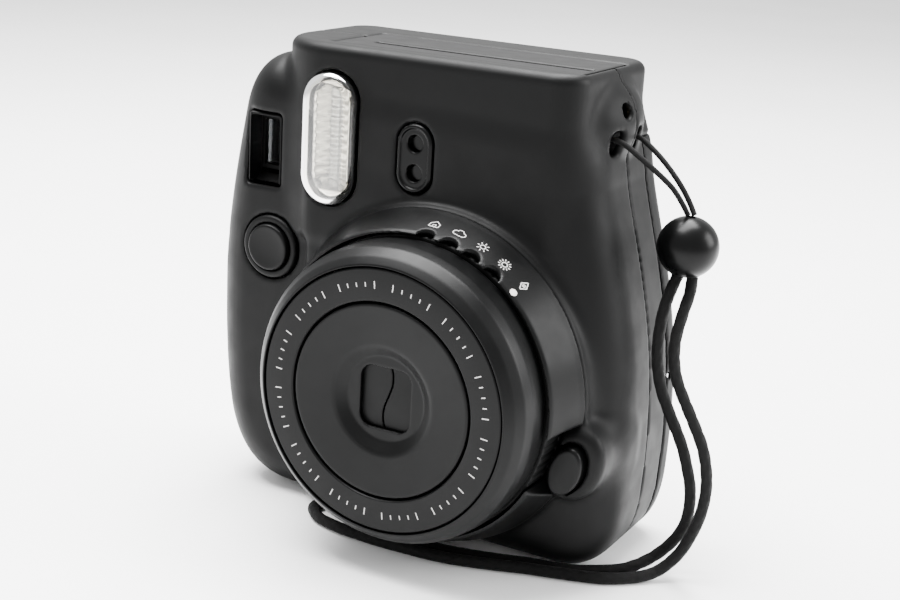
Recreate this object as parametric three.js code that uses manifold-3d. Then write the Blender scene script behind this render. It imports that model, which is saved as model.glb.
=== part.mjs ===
// Instant film camera with a wrist strap, in millimetres, +Z up, its front facing -Y.
// Inside this file y = 0 is the flat front of the body; the root group then centres the depth.
import * as THREE from 'three';
import { mergeVertices } from 'three/addons/utils/BufferGeometryUtils.js';
import Module from 'manifold-3d';

const wasm = await Module();
wasm.setup();

// Driving dimensions of the body.
const HEIGHT = 118.3;
const BACK_Y = 42.8;
const LENS_FACE_Y = -25.4;
const DEPTH_CENTRE = (BACK_Y + LENS_FACE_Y) / 2;
const WALL = 2;
const GAP = 0.3;
const SEAM_Y = 22;
const DOOR_Y = 33;
const GRIP_FRONT_Y = 2.6;
const TOP_BLOCK = { left: -40, right: 43, bottom: 70 };
const DOOR = { left: -33, top: 101 };
const HINGE = { x: 56.2, y: 35, z0: 19, z1: 44, r: 0.9 };

// Lens group.
const LENS = { x: 11, z: 43.5 };
const RING_R = 41;
const CONE_TOP_R = 37.6;
const CONE_TOP_Y = -13.6;
const PLATEAU_LEFT = -27.5;
const DIAL_R = 36.3;
const BARREL_R = 35.6;
const TUBE_R = 34.5;
const FACE_R = 31.2;
const DISC_R = 23;
const RECESS_R = 12;

// Openings and controls on the front.
const FLASH = { x: -20.5, z: 96, w: 14.6, h: 32 };
const SENSOR = { x: 2.8, z: 94.5, w: 9.4, h: 16.4 };
const FINDER = { x: -42, z: 90.6, w: 9.6, h: 16 };
const SHUTTER = { x: -39, z: 65.6, r: 5.9, bezel: 8 };
const POWER = { x: 49.7, z: 30.2, wide: 3.9, tall: 6.2, turn: -0.33 };
const EAR = { x: 36, y: 22, z: 105.6, wide: 12.4, deep: 16.5, tall: 12.2 };

// Film path and the drive.
const FILM = { x: 11, z: 52.6, w: 60, h: 90, d: 20 };
const SLOT = { w: 57, y: 14.4, gap: 2.4 };
const ROLLER = { z: 107.6, r: 3.1, length: 56 };
const AA = { r: 7.1, length: 50, x: -43.6, z: 14 };

// Wrist strap.
const BEAD = { x: 63.2, y: 22.6, z: 79.5, r: 7.2 };
const STRAND_R = 1.4;
const THREAD_R = 0.65;

const camera = new THREE.Group();
camera.name = 'instant_camera';
camera.position.y = -DEPTH_CENTRE;

const finish = (color, roughness, metalness = 0) =>
  new THREE.MeshStandardMaterial({ color, roughness, metalness });
const LOOK = {
  shell: () => finish(0x1d1d1f, 0.62),
  trim: () => finish(0x151517, 0.5),
  gloss: () => finish(0x0c0c0e, 0.2),
  steel: () => finish(0xb4b6b8, 0.3, 1),
  brass: () => finish(0xb08d45, 0.35, 1),
  clear: () => finish(0xe9e6dc, 0.08),
  glass: () => finish(0x30343c, 0.05),
  white: () => finish(0xd8d8d2, 0.5),
  rubber: () => finish(0x141414, 0.85),
  board: () => finish(0x1f5a34, 0.55),
  cord: () => finish(0x101012, 0.9),
};

// --- Solid helpers ---

function volumeOf(position, index) {
  const [a, b, c] = [new THREE.Vector3(), new THREE.Vector3(), new THREE.Vector3()];
  let sum = 0;
  for (let i = 0; i < index.count; i += 3) {
    a.fromBufferAttribute(position, index.getX(i));
    b.fromBufferAttribute(position, index.getX(i + 1));
    c.fromBufferAttribute(position, index.getX(i + 2));
    sum += a.dot(b.cross(c));
  }
  return sum;
}

// Adds the slivers that a flat cap leaves open where three outline points lie in a line.
function closeSlivers(corners) {
  const edges = new Map();
  for (let i = 0; i < corners.length; i += 3) {
    for (let k = 0; k < 3; k++) {
      edges.set(`${corners[i + k]} ${corners[i + ((k + 1) % 3)]}`, [corners[i + k], corners[i + ((k + 1) % 3)]]);
    }
  }
  const next = new Map();
  for (const [a, b] of edges.values()) {
    if (!edges.has(`${b} ${a}`)) next.set(b, a);
  }
  while (next.size > 0) {
    const loop = [next.keys().next().value];
    for (let at = loop[0]; next.has(at); ) {
      const following = next.get(at);
      next.delete(at);
      at = following;
      if (at !== loop[0]) loop.push(at);
    }
    for (let i = 1; i + 1 < loop.length; i++) corners.push(loop[0], loop[i], loop[i + 1]);
  }
}

function solid(geometry) {
  const bare = new THREE.BufferGeometry();
  bare.setAttribute('position', geometry.getAttribute('position'));
  bare.setIndex(geometry.getIndex());
  const merged = mergeVertices(bare, 1e-4);
  const corners = merged.getIndex().array;
  const kept = [];
  for (let i = 0; i < corners.length; i += 3) {
    const [a, b, c] = [corners[i], corners[i + 1], corners[i + 2]];
    if (a !== b && b !== c && c !== a) kept.push(a, b, c);
  }
  closeSlivers(kept);
  const index = Uint32Array.from(kept);
  if (volumeOf(merged.getAttribute('position'), merged.getIndex()) < 0) {
    for (let i = 0; i < index.length; i += 3) {
      [index[i + 1], index[i + 2]] = [index[i + 2], index[i + 1]];
    }
  }
  const vertProperties = Float32Array.from(merged.getAttribute('position').array);
  const mesh = new wasm.Mesh({ numProp: 3, vertProperties, triVerts: index });
  mesh.merge();
  return new wasm.Manifold(mesh);
}

function geometryOf(manifold) {
  const mesh = manifold.getMesh();
  const geometry = new THREE.BufferGeometry();
  geometry.setAttribute('position', new THREE.BufferAttribute(mesh.vertProperties, 3));
  geometry.setIndex(new THREE.BufferAttribute(mesh.triVerts, 1));
  geometry.computeVertexNormals();
  return geometry;
}

function put(name, shape, material, place = [0, 0, 0], turn = [0, 0, 0]) {
  const geometry = shape.isBufferGeometry ? geometryOf(solid(shape)) : geometryOf(shape);
  const mesh = new THREE.Mesh(geometry, material);
  mesh.name = name;
  mesh.position.set(...place);
  mesh.rotation.set(...turn);
  camera.add(mesh);
}

const union = (first, ...rest) => rest.reduce((sum, piece) => sum.add(piece), first);
const cut = (first, ...rest) => rest.reduce((sum, piece) => sum.subtract(piece), first);

function box(x0, x1, y0, y1, z0, z1) {
  const geometry = new THREE.BoxGeometry(x1 - x0, y1 - y0, z1 - z0);
  geometry.translate((x0 + x1) / 2, (y0 + y1) / 2, (z0 + z1) / 2);
  return solid(geometry);
}

// A cylinder or cone along Y, centred at x, z.
function rodY(x, z, r, y0, y1, sides = 48, rBack = r) {
  const geometry = new THREE.CylinderGeometry(rBack, r, y1 - y0, sides);
  geometry.translate(x, (y0 + y1) / 2, z);
  return solid(geometry);
}

function rodX(x0, x1, y, z, r, sides = 24) {
  const geometry = new THREE.CylinderGeometry(r, r, x1 - x0, sides);
  geometry.rotateZ(Math.PI / 2);
  geometry.translate((x0 + x1) / 2, y, z);
  return solid(geometry);
}

function rodZ(x, y, r, z0, z1, sides = 24) {
  const geometry = new THREE.CylinderGeometry(r, r, z1 - z0, sides);
  geometry.rotateX(Math.PI / 2);
  geometry.translate(x, y, (z0 + z1) / 2);
  return solid(geometry);
}

// A turned piece about the lens axis, from its [radius, y] outline.
function turned(outline, sides = 72, x = LENS.x, z = LENS.z) {
  const points = outline.map(([r, y]) => new THREE.Vector2(r, y));
  points.push(points[0].clone());
  const geometry = new THREE.LatheGeometry(points, sides);
  geometry.translate(x, 0, z);
  return solid(geometry);
}

// A flat outline drawn in X and Z, thick along Y, with optional rounded edges and inset.
function slab(shape, y0, y1, { round = 0, size = round, steps = 3, inset = 0, curve = 12 } = {}) {
  const geometry = new THREE.ExtrudeGeometry(shape, {
    depth: y1 - y0 - 2 * round,
    bevelEnabled: round > 0 || inset > 0,
    bevelThickness: round,
    bevelSize: size,
    bevelOffset: -size - inset,
    bevelSegments: steps,
    curveSegments: curve,
  });
  geometry.rotateX(Math.PI / 2);
  geometry.translate(0, y1 - round, 0);
  return solid(geometry);
}

function roundedRect(x0, x1, z0, z1, r) {
  const shape = new THREE.Shape();
  shape.absarc(x1 - r, z0 + r, r, -Math.PI / 2, 0);
  shape.absarc(x1 - r, z1 - r, r, 0, Math.PI / 2);
  shape.absarc(x0 + r, z1 - r, r, Math.PI / 2, Math.PI);
  shape.absarc(x0 + r, z0 + r, r, Math.PI, Math.PI * 1.5);
  shape.closePath();
  return shape;
}

const pill = (x, z, w, h) => roundedRect(x - w / 2, x + w / 2, z - h / 2, z + h / 2, w / 2 - 0.4);

function oval(x, z, wide, tall, turn = 0) {
  const shape = new THREE.Shape();
  shape.absellipse(x, z, wide, tall, 0, Math.PI * 2, false, turn);
  return shape;
}

// A round-sectioned cord through hand-picked points.
function cord(points, radius, steps, sides = 8) {
  const path = new THREE.CatmullRomCurve3(points.map((p) => new THREE.Vector3(...p)));
  const section = new THREE.Shape();
  section.absarc(0, 0, radius, 0, Math.PI * 2);
  return new THREE.ExtrudeGeometry(section, {
    steps,
    bevelEnabled: false,
    extrudePath: path,
    curveSegments: sides,
  });
}

function coil(axis, centre, radius, wire, start, end, turns, stepsPerTurn = 8) {
  const points = [];
  const count = turns * stepsPerTurn;
  for (let i = 0; i <= count; i++) {
    const angle = (i / stepsPerTurn) * Math.PI * 2;
    const along = start + (end - start) * (i / count);
    const [u, v] = [radius * Math.cos(angle), radius * Math.sin(angle)];
    points.push(axis === 'y' ? [centre[0] + u, along, centre[1] + v] : [centre[0] + u, centre[1] + v, along]);
  }
  return cord(points, wire, count, 2);
}

// --- Body form, used at full size and, inset by the wall, as the hollow ---

function bodyOutline() {
  const shape = new THREE.Shape();
  shape.moveTo(-34, 0);
  shape.lineTo(44, 0);
  shape.bezierCurveTo(54, 0.2, 57, 8, 57.7, 17);
  shape.bezierCurveTo(58.4, 30, 58, 46, 55, 61);
  shape.bezierCurveTo(52.4, 74, 49, 84, 47.2, 92);
  shape.bezierCurveTo(46.3, 99, 44.2, 106.8, 39.3, 110.3);
  shape.lineTo(-41, 113.4);
  shape.bezierCurveTo(-48, 112.4, -51.4, 106, -52.6, 99);
  shape.bezierCurveTo(-54.6, 88, -57.4, 74, -58, 58);
  shape.bezierCurveTo(-58, 44, -57.8, 30, -55.2, 18);
  shape.bezierCurveTo(-52, 6, -45, 0.2, -34, 0);
  return shape;
}

function topBlock(inset) {
  const { left, right, bottom } = TOP_BLOCK;
  const plan = new THREE.Shape();
  plan.absarc(right - 6, 6, 6, -Math.PI / 2, 0);
  plan.absarc(right - 7, BACK_Y - 7, 7, 0, Math.PI / 2);
  plan.absarc(left + 8, BACK_Y - 8, 8, Math.PI / 2, Math.PI);
  plan.absarc(left + 16, 16, 16, Math.PI, Math.PI * 1.5);
  plan.closePath();
  const geometry = new THREE.ExtrudeGeometry(plan, {
    depth: HEIGHT - bottom - 4.4 - inset,
    bevelThickness: 2.2,
    bevelSize: 2.2,
    bevelOffset: -2.2 - inset,
    bevelSegments: 2,
    curveSegments: 4,
  });
  geometry.translate(0, 0, bottom + 2.2);
  return solid(geometry);
}

function bodyForm(inset) {
  const front = slab(bodyOutline(), GRIP_FRONT_Y + inset, 36, { round: 12.5, size: 10.5, steps: 4, inset, curve: 6 });
  const back = slab(bodyOutline(), 12, BACK_Y - inset, { round: 7, size: 6.4, steps: 3, inset, curve: 6 });
  const plateau = slab(bodyOutline(), inset, 30, { round: 12.5, size: 10.5, steps: 4, inset, curve: 6 })
    .intersect(box(PLATEAU_LEFT + inset, 70, -1, 30, -5, 130));
  const ear = new THREE.SphereGeometry(1, 24, 14);
  ear.scale(EAR.wide - inset, EAR.deep - inset, EAR.tall - inset);
  ear.translate(EAR.x, EAR.y, EAR.z);
  return union(front, back, plateau, topBlock(inset), solid(ear));
}

const powerOval = (grow) => oval(POWER.x + 1, POWER.z + 1, 6.9 + grow, 9.4 + grow, POWER.turn);
const lensPost = rodY(LENS.x, LENS.z, RING_R, -2.6, 8, 48);
const powerHood = slab(powerOval(0), -5.2, 16, { round: 3, size: 2.4, curve: 9 });
const powerHollow = slab(powerOval(-1.6), -3.2, 17, { curve: 8 });
const outside = bodyForm(0);
const hollow = bodyForm(WALL);
const wholeShell = cut(union(outside, lensPost, powerHood), hollow, powerHollow);
const everything = box(-70, 70, -40, 60, -5, 130);
const behind = (y) => everything.intersect(box(-70, 70, y, 60, -5, 130));
const ahead = (y) => everything.intersect(box(-70, 70, -40, y, -5, 130));

// The block of space that the back door takes, grown by a gap when it is cut from the shell.
const doorSpace = (gap) => box(DOOR.left - gap, 70, DOOR_Y - gap, 60, -5, DOOR.top + gap);
const PLATE = { x0: FILM.x - 36, x1: FILM.x + 29.8, y0: 6.4, y1: 30, z0: 116.2 };
const slotPlateSpace = (gap) => box(PLATE.x0 - gap, PLATE.x1 + gap, PLATE.y0 - gap, PLATE.y1 + gap, 113.6, 125);
const batteryDoorSpace = (gap) => box(-70, -52, 8 - 3 * gap, 36 + gap, 10 - gap, 66 + gap);
const finderRoom = box(FINDER.x - 7.4, FINDER.x + 6.8, 2, 60, FINDER.z - 10.4, FINDER.z + 9.6);
const strapHoles = union(
  box(42, 60, 13.4, 17.6, 99.2, 105),
  box(42, 60, 23.4, 27.6, 99.4, 105.2),
  rodX(42, 60, 18.6, 109.2, 1.8, 16),
);

// --- Casing ---

function frontCover() {
  const openings = [
    rodY(LENS.x, LENS.z, DIAL_R + 0.6, -10, 12, 48),
    slab(pill(FLASH.x, FLASH.z, FLASH.w + 0.6, FLASH.h + 0.6), -5, 6, { curve: 3 }),
    slab(pill(SENSOR.x, SENSOR.z, SENSOR.w + 0.6, SENSOR.h + 0.6), -5, 6, { curve: 3 }),
    rodY(SHUTTER.x, SHUTTER.z, SHUTTER.bezel + 0.3, -5, 8, 24),
    slab(oval(POWER.x, POWER.z, POWER.wide + 0.5, POWER.tall + 0.5, POWER.turn), -10, 8, { curve: 9 }),
    box(FINDER.x - 5.3, FINDER.x + 5.3, -5, 9, FINDER.z - 9.9, FINDER.z + 8.6),
    strapHoles,
  ];
  const cover = cut(wholeShell.intersect(ahead(SEAM_Y - GAP / 2)), ...openings);
  return cut(cover, slotPlateSpace(GAP), batteryDoorSpace(GAP));
}

function rearShell() {
  const openings = [
    strapHoles,
    doorSpace(GAP),
    batteryDoorSpace(GAP),
    slotPlateSpace(GAP),
    box(FINDER.x - 5.6, FINDER.x + 5.6, 36, 60, FINDER.z - 7.3, FINDER.z + 7.3),
  ];
  return cut(wholeShell.intersect(behind(SEAM_Y + GAP / 2)), ...openings);
}

function backDoor() {
  const windows = [
    slab(roundedRect(FILM.x - 7.3, FILM.x + 7.3, 42, 68, 3), 36, 60, { curve: 2 }),
    rodY(-20, 16, 4.8, 36, 60, 20),
    box(DOOR.left - 1, DOOR.left + 9.3, 38, 60, 50.7, 65.3),
    box(52, 70, DOOR_Y - 1, DOOR_Y + 0.6, -5, 130),
    rodZ(HINGE.x, HINGE.y, HINGE.r + GAP, HINGE.z0 - GAP, HINGE.z1 + GAP, 12),
  ];
  return cut(wholeShell.intersect(doorSpace(0)), ...windows);
}

function slotPlate() {
  const plate = box(PLATE.x0, PLATE.x1, PLATE.y0, PLATE.y1, PLATE.z0, HEIGHT - 0.2);
  const skirt = box(FILM.x - 29.4, FILM.x + 29.4, 10.8, 18, 113.8, PLATE.z0 + 1);
  const [x0, x1] = [FILM.x - SLOT.w / 2, FILM.x + SLOT.w / 2];
  return cut(plate.add(skirt), box(x0, x1, SLOT.y - SLOT.gap / 2, SLOT.y + SLOT.gap / 2, 100, 130));
}

put('front_cover', frontCover(), LOOK.shell());
put('rear_shell', rearShell(), LOOK.shell());
put('back_door', backDoor(), LOOK.shell());
put('film_slot_plate', slotPlate(), LOOK.trim());

// --- Lens group ---

// The fixed cone round the barrel, with four little windows on its inner edge.
const WINDOW_ANGLES = [85.5, 76, 66.5, 57];

function scaleRing() {
  const ring = turned([
    [DIAL_R + 0.4, -2.9],
    [RING_R, -2.9],
    [RING_R - 0.6, -4.4],
    [CONE_TOP_R, CONE_TOP_Y + 0.7],
    [CONE_TOP_R - 0.6, CONE_TOP_Y],
    [DIAL_R + 0.4, CONE_TOP_Y],
  ], 56);
  const windows = WINDOW_ANGLES.map((degrees) => {
    const notch = new THREE.CylinderGeometry(2.1, 2.1, 8, 12);
    notch.rotateZ(-Math.PI / 2 + THREE.MathUtils.degToRad(degrees));
    notch.rotateX(Math.PI / 2);
    const angle = THREE.MathUtils.degToRad(degrees);
    notch.translate(LENS.x + 38 * Math.cos(angle), CONE_TOP_Y + 0.4, LENS.z + 38 * Math.sin(angle));
    return solid(notch);
  });
  return cut(ring, slab(powerOval(0.4), -20, 10, { curve: 9 }), ...windows);
}

function dial() {
  return turned([
    [TUBE_R + 0.3, 7],
    [DIAL_R, 7],
    [DIAL_R, -11.6],
    [TUBE_R + 0.3, -11.6],
  ], 48);
}

function barrelRim() {
  return turned([
    [33, 9],
    [TUBE_R, 9],
    [TUBE_R, -12.2],
    [BARREL_R, -12.4],
    [BARREL_R, -18.2],
    [BARREL_R - 0.7, -20.6],
    [BARREL_R - 2.2, -23.4],
    [FACE_R + 0.9, LENS_FACE_Y + 0.2],
    [FACE_R + 0.3, LENS_FACE_Y],
    [FACE_R + 0.3, -21.4],
    [33, -19],
  ], 56);
}

const faceRing = () => turned([
  [DISC_R + 0.4, -21.6],
  [FACE_R - 0.2, -21.6],
  [FACE_R - 0.2, LENS_FACE_Y + 0.5],
  [FACE_R - 0.6, LENS_FACE_Y + 0.2],
  [DISC_R + 0.5, LENS_FACE_Y + 0.2],
], 48);

function barrelDisc() {
  const disc = turned([
    [0, -21.4],
    [DISC_R, -21.4],
    [DISC_R, LENS_FACE_Y + 0.5],
    [DISC_R - 0.4, LENS_FACE_Y + 0.2],
    [RECESS_R + 0.4, LENS_FACE_Y + 1.2],
    [RECESS_R, LENS_FACE_Y + 1.5],
    [9.8, -22.2],
    [0, -22.2],
  ], 48);
  return cut(disc, slab(roundedRect(LENS.x - 6.6, LENS.x + 6.6, LENS.z - 7.4, LENS.z + 7.4, 3), -30, -15, { curve: 3 }));
}

// One of the two leaves that close the lens: its inner edge is a shallow S.
function coverLeaf(side) {
  const shape = new THREE.Shape();
  const edge = LENS.x + side * 0.2;
  shape.moveTo(edge, LENS.z - 9);
  shape.bezierCurveTo(edge - 3, LENS.z - 3, edge + 3, LENS.z + 3, edge, LENS.z + 9);
  shape.lineTo(LENS.x + side * 9, LENS.z + 9);
  shape.lineTo(LENS.x + side * 9, LENS.z - 9);
  return slab(shape, -21, -20.3, { curve: 8 });
}

const lensCarrier = () => turned([
  [5.6, -18.8],
  [8.6, -18.8],
  [9.2, -9.4],
  [32.6, -9.2],
  [32.6, -7.8],
  [5.6, -7.8],
], 36);

const lensGlass = (y, thick, r) => turned([
  [0, y - thick],
  [r * 0.5, y - thick * 0.8],
  [r, y - thick * 0.3],
  [r, y],
  [0, y],
], 20);

const shutterPlate = () => cut(rodY(LENS.x, LENS.z, 15, -7.4, -6.4, 32), rodY(LENS.x, LENS.z, 3, -9, -5, 16));

function shutterLeaf() {
  const blade = new THREE.Shape();
  blade.absarc(LENS.x, LENS.z, 4.4, -Math.PI / 2, Math.PI / 2);
  blade.absarc(LENS.x - 9, LENS.z, 2.2, Math.PI / 2, Math.PI * 1.5);
  return slab(blade, -6, -5.6, { curve: 5 });
}

put('scale_ring', scaleRing(), LOOK.shell());
put('brightness_dial', dial(), LOOK.trim());
put('barrel_rim', barrelRim(), LOOK.shell());
put('barrel_face_ring', faceRing(), LOOK.shell());
put('barrel_disc', barrelDisc(), LOOK.shell());
put('lens_cover_leaf_left', coverLeaf(-1), LOOK.trim());
put('lens_cover_leaf_right', coverLeaf(1), LOOK.trim());
put('lens_carrier', lensCarrier(), LOOK.trim());
put('front_lens', lensGlass(-15.4, 2.4, 5.3), LOOK.glass());
put('rear_lens', lensGlass(-11.4, 2, 5.3), LOOK.glass());
put('shutter_plate', shutterPlate(), LOOK.steel());
put('shutter_leaf', shutterLeaf(), LOOK.gloss());

// --- Flash, light sensor and viewfinder ---

function flashWindow() {
  const outer = slab(pill(FLASH.x, FLASH.z, FLASH.w, FLASH.h), -3.2, 3, { round: 2.2, size: 1.8, steps: 2, curve: 3 });
  const inner = slab(pill(FLASH.x, FLASH.z, FLASH.w - 2, FLASH.h - 2), -2, 12, { round: 1.6, size: 1.4, steps: 2, curve: 3 });
  return cut(outer, inner);
}

function flashReflector() {
  const { x, z, w, h } = FLASH;
  const pan = slab(pill(x, z, w - 3.4, h - 3.4), -0.9, 7, { curve: 3 });
  const bowl = new THREE.CylinderGeometry(7, 7, h - 8, 20);
  bowl.rotateX(Math.PI / 2);
  bowl.scale(0.72, 1, 1);
  bowl.translate(x, -0.9, z);
  return cut(pan, solid(bowl));
}

function sensorBezel() {
  const { x, z, w, h } = SENSOR;
  const block = slab(pill(x, z, w, h), -0.8, 3.4, { round: 0.7, size: 0.7, steps: 1, curve: 3 });
  const dish = slab(pill(x, z, w - 2.2, h - 2.2), -2, -0.3, { curve: 3 });
  const holes = [z + 3.5, z - 3.5].map((at) => rodY(x, at, 2, -3, 2.6, 16));
  return cut(block, dish, ...holes);
}

function finderFrame() {
  const { x, z } = FINDER;
  const outer = box(x - 5, x + 5, 3.2, 8.6, z - 9.6, z + 8.3);
  const mouth = box(x - 4.3, x + 4.3, 2, 12, z - 7.6, z + 7.6);
  const lip = new THREE.BoxGeometry(8.6, 12, 4);
  lip.rotateX(0.6);
  lip.translate(x, 2.6, z - 8.2);
  return cut(outer, mouth, solid(lip));
}

function finderTube() {
  const { x, z } = FINDER;
  const outer = box(x - 4.9, x + 4.9, 9, 39.4, z - 6.8, z + 6.8);
  return cut(outer, box(x - 3.9, x + 3.9, 8, 41, z - 5.8, z + 5.8));
}

function eyepiece() {
  const { x, z } = FINDER;
  const outer = slab(roundedRect(x - 5.3, x + 5.3, z - 7, z + 7, 2), 39.8, BACK_Y, { curve: 2 });
  return cut(outer, box(x - 3.6, x + 3.6, 38, 45, z - 5, z + 5));
}

put('flash_window', flashWindow(), LOOK.clear());
put('flash_reflector', flashReflector(), LOOK.steel());
put('flash_tube', rodZ(FLASH.x, 0.4, 1.3, FLASH.z - 12, FLASH.z + 12, 16), LOOK.glass());
put('sensor_bezel', sensorBezel(), LOOK.trim());
put('sensor_window_upper', rodY(SENSOR.x, SENSOR.z + 3.5, 1.7, 1.4, 2.2, 16), LOOK.glass());
put('sensor_window_lower', rodY(SENSOR.x, SENSOR.z - 3.5, 1.7, 1.4, 2.2, 16), LOOK.glass());
put('viewfinder_frame', finderFrame(), LOOK.trim());
put('viewfinder_tube', finderTube(), LOOK.trim());
put('viewfinder_front_lens', box(FINDER.x - 3.6, FINDER.x + 3.6, 10, 11.2, FINDER.z - 5.5, FINDER.z + 5.5), LOOK.glass());
put('viewfinder_eye_lens', box(FINDER.x - 3.6, FINDER.x + 3.6, 36, 37.4, FINDER.z - 5.5, FINDER.z + 5.5), LOOK.glass());
put('viewfinder_eyepiece', eyepiece(), LOOK.rubber());

// --- Controls ---

function shutterBezel() {
  const { x, z, r, bezel } = SHUTTER;
  const ring = slab(oval(x, z, bezel, bezel), 1.9, 7.2, { round: 0.9, size: 0.8, steps: 1, curve: 12 });
  return cut(ring, rodY(x, z, r + 0.3, 0, 6, 24), rodY(x, z, 2.8, 0, 9, 16));
}

function pushButton(shape, neck, front, back, stop) {
  const cap = slab(shape, front, back, { round: 0.8, size: 0.8, steps: 2, curve: 12 });
  return cap.add(neck.intersect(behind(back - 0.4)).intersect(ahead(stop)));
}

put('shutter_bezel', shutterBezel(), LOOK.trim());
const shutterCap = oval(SHUTTER.x, SHUTTER.z, SHUTTER.r, SHUTTER.r);
put(
  'shutter_button',
  pushButton(shutterCap, rodY(SHUTTER.x, SHUTTER.z, 2.4, 0, 20, 16), 0.6, 3.4, 8.4),
  LOOK.shell(),
);
put('shutter_spring', coil('y', [SHUTTER.x, SHUTTER.z], 1.7, 0.25, 10.6, 12.5, 3), LOOK.steel());
const powerCap = oval(POWER.x, POWER.z, POWER.wide, POWER.tall, POWER.turn);
put(
  'power_button',
  pushButton(powerCap, rodY(POWER.x, POWER.z, 2.4, -4, 20, 16), -7.4, -3.4, 4.6),
  LOOK.shell(),
);
put('power_spring', coil('y', [POWER.x, POWER.z], 1.7, 0.25, 6.8, 9.6, 4), LOOK.steel());

// --- Back door ---

put('hinge_pin', rodZ(HINGE.x, HINGE.y, HINGE.r, HINGE.z0, HINGE.z1, 12), LOOK.steel());
put('door_latch', box(DOOR.left + 0.6, DOOR.left + 5.4, 39.6, 42.2, 51.2, 64.8), LOOK.trim());
put('film_window', slab(roundedRect(FILM.x - 7, FILM.x + 7, 42.3, 67.7, 2.8), 41, 42.2, { curve: 2 }), LOOK.clear());
put('counter_window', rodY(-20, 16, 4.5, 41.2, 42.3, 20), LOOK.clear());
put('counter_wheel', rodY(-20, 16, 7.6, 38.6, 40.2, 24), LOOK.white());

// --- Batteries ---

const batteryY = [14.8, 30];
const batteryDoor = () => wholeShell.intersect(batteryDoorSpace(0));

function battery(y) {
  const x = AA.x;
  const can = rodZ(x, y, AA.r, AA.z, AA.z + AA.length - 1.4, 24);
  return can.add(rodZ(x, y, 2.7, AA.z + AA.length - 1.6, AA.z + AA.length, 12));
}

put('battery_door', batteryDoor(), LOOK.shell());
batteryY.forEach((y, i) => put(`battery_${i + 1}`, battery(y), LOOK.steel()));
put('battery_contact_top', box(AA.x - 4, AA.x + 4, 13, 34, AA.z + AA.length + 0.3, AA.z + AA.length + 0.8), LOOK.steel());
batteryY.forEach((y, i) => {
  put(`battery_spring_${i + 1}`, coil('z', [AA.x, y], 3, 0.4, AA.z - 4.6, AA.z - 0.8, 3), LOOK.steel());
});

// --- Film chamber, rollers and electronics ---

const CHASSIS = { x0: FILM.x - 31.8, x1: FILM.x + 31.6, y0: 12.8, y1: 37, z0: 5.8, z1: 99.8, wall: 1.4 };

const DRIVE = { x0: -24.8, x1: -22.6, y: SLOT.y + 3.5 + 4.35, z: ROLLER.z - 7.5, r: 5 };

function chassis() {
  const { x0, x1, y0, y1, z0, z1, wall } = CHASSIS;
  const bracket = { y0: 8.4, y1: 25, z1: 111.8 };
  const right = FILM.x + ROLLER.length / 2 + 1;
  const shell = cut(box(x0, x1, y0, y1, z0, z1), box(x0 + wall, x1 - wall, y0 + wall, y1 + 1, z0 + wall, z1 - wall));
  const left = box(x0, x0 + wall, bracket.y0, bracket.y1, z1 - 6, bracket.z1);
  const side = box(right - 0.4, right + 1, bracket.y0, bracket.y1, z1 - 1, bracket.z1);
  const ties = box(x0, right + 1, bracket.y0, bracket.y0 + 1.4, z1 - 2, z1 + 0.6);
  const aperture = box(FILM.x - 23, FILM.x + 23, 5, 20, FILM.z - 31, FILM.z + 31);
  const film = box(FILM.x - 28, FILM.x + 28, SLOT.y + 0.1, SLOT.y + 4.2, 90, 104);
  const bores = [SLOT.y - 3.5, SLOT.y + 3.5].map((y) => rodX(-40, 60, y, ROLLER.z, 1.4, 16));
  const stud = rodX(DRIVE.x0 - 0.6, x0 + 0.5, DRIVE.y, DRIVE.z, 1.1, 12);
  return cut(union(shell, left, side, ties, stud), aperture, film, ...bores);
}

function lightCone() {
  const make = (grow) => {
    const cone = new THREE.CylinderGeometry(32 + grow, 17 + grow, 12, 4);
    cone.rotateY(Math.PI / 4);
    cone.scale(0.86, 1, 1.08);
    cone.translate(LENS.x, 6.2, LENS.z);
    return solid(cone);
  };
  return cut(make(0), make(-1.4).add(rodY(LENS.x, LENS.z, 8, -2, 2, 24)).add(box(0, 22, 11, 14, 32, 56)));
}

function filmPack() {
  const { x, z, w, h, d } = FILM;
  const y0 = CHASSIS.y0 + CHASSIS.wall + 0.3;
  const block = slab(roundedRect(x - w / 2, x + w / 2, z - h / 2, z + h / 2, 2), y0, y0 + d, { curve: 2 });
  return cut(block, box(x - 23, x + 23, y0 - 1, y0 + 1.4, z - 31, z + 31));
}

function roller(y) {
  const [x0, x1] = [FILM.x - ROLLER.length / 2, FILM.x + ROLLER.length / 2];
  const shaft = rodX(x0 - 8.4, x1 + 1.6, y, ROLLER.z, 1.1, 12);
  return rodX(x0, x1, y, ROLLER.z, ROLLER.r, 20).add(shaft);
}

function gear(x0, x1, y, z, r, teeth, bore) {
  const shape = new THREE.Shape();
  for (let i = 0; i < teeth * 2; i++) {
    const angle = (i / (teeth * 2)) * Math.PI * 2;
    const reach = i % 2 ? r : r - 0.9;
    shape[i ? 'lineTo' : 'moveTo'](y + reach * Math.cos(angle), z + reach * Math.sin(angle));
  }
  const geometry = new THREE.ExtrudeGeometry(shape, { depth: x1 - x0, bevelEnabled: false });
  geometry.rotateY(Math.PI / 2);
  geometry.rotateX(Math.PI / 2);
  geometry.translate(x0, 0, 0);
  return cut(solid(geometry), rodX(x0 - 1, x1 + 1, y, z, bore, 16));
}

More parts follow.
